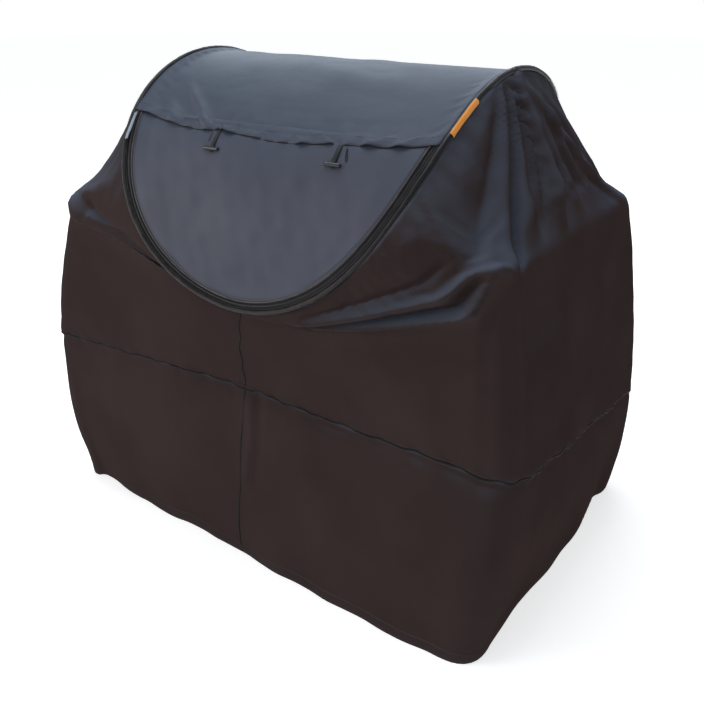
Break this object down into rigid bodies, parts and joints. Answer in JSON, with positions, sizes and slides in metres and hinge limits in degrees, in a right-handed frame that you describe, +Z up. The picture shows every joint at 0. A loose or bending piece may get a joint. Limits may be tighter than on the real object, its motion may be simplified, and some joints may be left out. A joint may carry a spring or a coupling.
{
  "type": "film changing tent",
  "caption": "Free-standing blackout tent: an arched hoop roof with a zip door that toggles hold open, over a draped skirt that is open at the floor.",
  "frame": {"origin": "on the floor, in the middle of the footprint", "axes": "+X to the right along the width, -Y towards the door side, +Z up"},
  "size_m": [1.157, 0.903, 1.0265],
  "materials": {
    "canopy_fabric": "smooth coated polyester, slate blue-grey",
    "skirt_fabric": "dark brown-black coated polyester with a soft sheen",
    "seam_tape": "dark folded seam tape with stitching",
    "sleeve_fabric": "dark grey folded binding",
    "spring_steel": "sprung steel wire",
    "zip_tape": "black woven zip tape",
    "zip_teeth": "black nylon coil",
    "slider_metal": "dark painted slider",
    "pull_ribbon": "pale grey ribbon",
    "webbing": "black woven webbing",
    "toggle_plastic": "moulded black plastic",
    "tag_fabric": "plain orange woven tag",
    "frame_tube": "black painted steel tube",
    "block_plastic": "moulded black nylon",
    "foot_rubber": "moulded rubber"
  },
  "bodies": {
    "root": {"back_panel": "canopy_fabric", "back_shoulder": "skirt_fabric", "centre_seam_lower": "seam_tape", "centre_seam_upper": "seam_tape", "cheek_left": "skirt_fabric", "cheek_right": "skirt_fabric", "corner_blocks": "block_plastic", "feet": "foot_rubber", "front_shoulder": "skirt_fabric", "hem_back": "skirt_fabric", "hem_front": "skirt_fabric", "hem_left": "skirt_fabric", "hem_right": "skirt_fabric", "hoop_ferrules": "spring_steel", "hoop_sleeve_back": "sleeve_fabric", "hoop_sleeve_front": "sleeve_fabric", "hoop_wire_back": "spring_steel", "hoop_wire_front": "spring_steel", "lower_skirt_back": "skirt_fabric", "lower_skirt_front_left": "skirt_fabric", "lower_skirt_front_right": "skirt_fabric", "lower_skirt_left": "skirt_fabric", "lower_skirt_right": "skirt_fabric", "post_back_left": "frame_tube", "post_back_right": "frame_tube", "post_front_left": "frame_tube", "post_front_right": "frame_tube", "rail_back": "frame_tube", "rail_front": "frame_tube", "rail_left": "frame_tube", "rail_right": "frame_tube", "roof_panel": "canopy_fabric", "side_tag": "tag_fabric", "upper_skirt_back": "skirt_fabric", "upper_skirt_front_left": "skirt_fabric", "upper_skirt_front_right": "skirt_fabric", "upper_skirt_left": "skirt_fabric", "upper_skirt_right": "skirt_fabric", "waist_seam_back": "seam_tape", "waist_seam_front": "seam_tape", "waist_seam_left": "seam_tape", "waist_seam_right": "seam_tape", "zip_light_flap": "zip_tape", "zip_tape_frame": "zip_tape", "zip_teeth_frame": "zip_teeth"},
    "door": {"door_panel": "canopy_fabric", "door_binding": "seam_tape", "zip_tape_door": "zip_tape", "zip_teeth_door": "zip_teeth", "elastic_loop_left": "webbing", "elastic_loop_right": "webbing"},
    "toggle_left": {"toggle_tab_left": "webbing", "toggle_bar_left": "toggle_plastic"},
    "toggle_right": {"toggle_tab_right": "webbing", "toggle_bar_right": "toggle_plastic"},
    "zip_slider": {"zip_slider": "slider_metal"},
    "zip_pull": {"zip_pull": "pull_ribbon"}
  },
  "joints": [
    {"name": "door_hinge", "type": "hinge", "parent": "root", "child": "door", "pos_m": [0, -0.26672, 0.9211], "axis": [-1, 0, 0], "range_deg": [0, 125]},
    {"name": "toggle_left_swing", "type": "hinge", "parent": "door", "child": "toggle_left", "pos_m": [-0.115, -0.28844, 0.90469], "axis": [-1, 0, 0], "range_deg": [0, 40]},
    {"name": "toggle_right_swing", "type": "hinge", "parent": "door", "child": "toggle_right", "pos_m": [0.165, -0.28844, 0.90469], "axis": [-1, 0, 0], "range_deg": [0, 40]},
    {"name": "zip_slider_run", "type": "hinge", "parent": "root", "child": "zip_slider", "pos_m": [-0.14244, -0.05275, 0.72592], "axis": [0.8014, -0.2914, 0.5224], "range_deg": [0, 13.2]},
    {"name": "zip_pull_swing", "type": "hinge", "parent": "zip_slider", "child": "zip_pull", "pos_m": [-0.34745, -0.27678, 0.91721], "axis": [-0.9837, -0.1319, -0.1219], "range_deg": [0, 60]}
  ]
}
